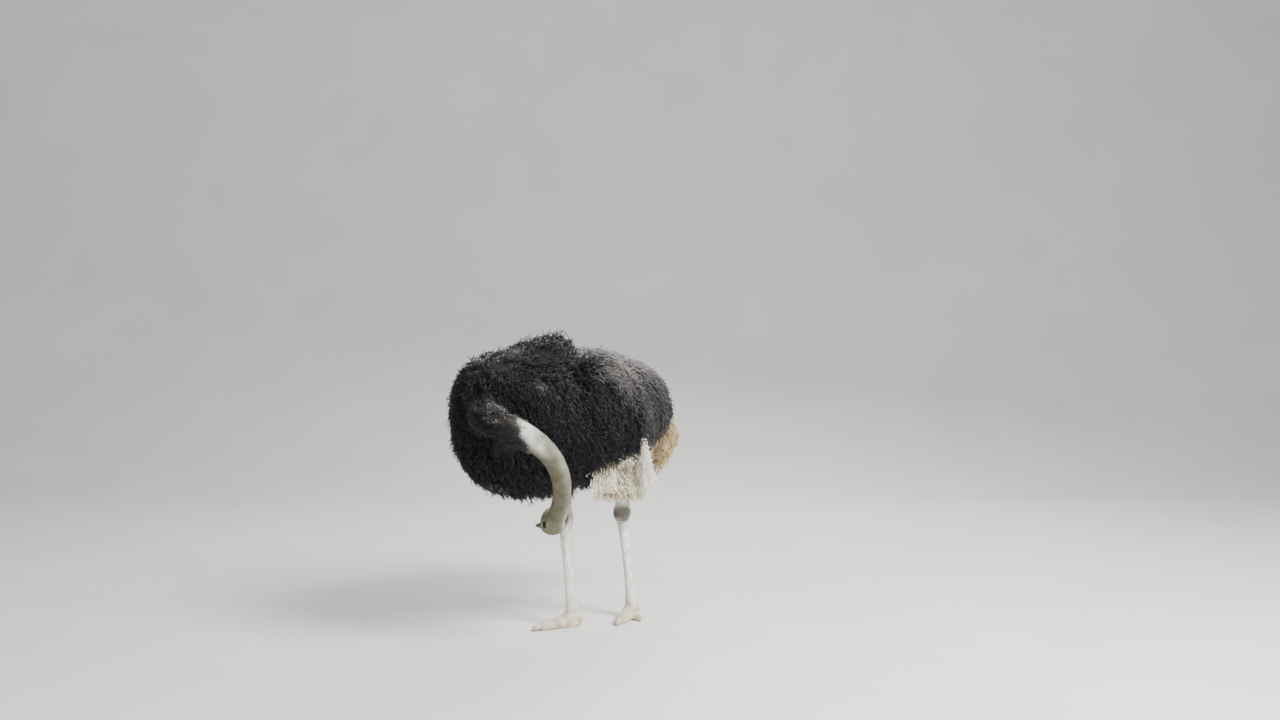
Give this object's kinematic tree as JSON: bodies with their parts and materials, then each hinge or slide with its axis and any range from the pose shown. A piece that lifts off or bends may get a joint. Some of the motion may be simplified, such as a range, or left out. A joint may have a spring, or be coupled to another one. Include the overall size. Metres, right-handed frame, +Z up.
{
  "type": "ostrich",
  "caption": "Life-size ostrich, black-plumed male, standing in mid stride with its neck curved down beside its breast and its bill turned back, a still museum model.",
  "frame": {"origin": "on the floor, under the middle of the overall box", "axes": "+Z up; the bird faces -Y, with its own left side towards +X"},
  "size_m": [0.8678, 1.4666, 1.3597],
  "materials": {
    "plumage_black": "soft loose black plumes with a faint cool sheen",
    "plumage_grey": "worn grey-brown plumes",
    "plumage_white": "cream-white down, stained brown at the tips",
    "plumage_tail": "dirty cream and brown plumes",
    "neck_down": "grey skin with short pale down, finely creased across",
    "head_skin": "olive-grey skin with short bristly down",
    "eye": "wet dark brown",
    "horn": "smooth blue-grey horn, pale at the claws",
    "leg_skin": "pale grey skin with a pink cast, scaled in front"
  },
  "bodies": {
    "root": {"breast": "plumage_black", "back": "plumage_grey", "rump": "plumage_grey", "neck_base": "neck_down", "neck_middle": "neck_down", "neck_upper": "neck_down", "head": "head_skin", "eye_right": "eye", "eye_left": "eye", "bill_upper": "horn", "bill_lower": "horn", "wing_right": "plumage_black", "wing_left": "plumage_black", "plumes_right": "plumage_white", "plumes_left": "plumage_white", "tail": "plumage_tail", "thigh_right": "plumage_white", "shank_right": "leg_skin", "tarsus_right": "leg_skin", "toe_big_right": "leg_skin", "toe_outer_right": "leg_skin", "claw_right": "horn", "thigh_left": "plumage_white", "shank_left": "leg_skin", "tarsus_left": "leg_skin", "toe_big_left": "leg_skin", "toe_outer_left": "leg_skin", "claw_left": "horn"}
  },
  "joints": []
}
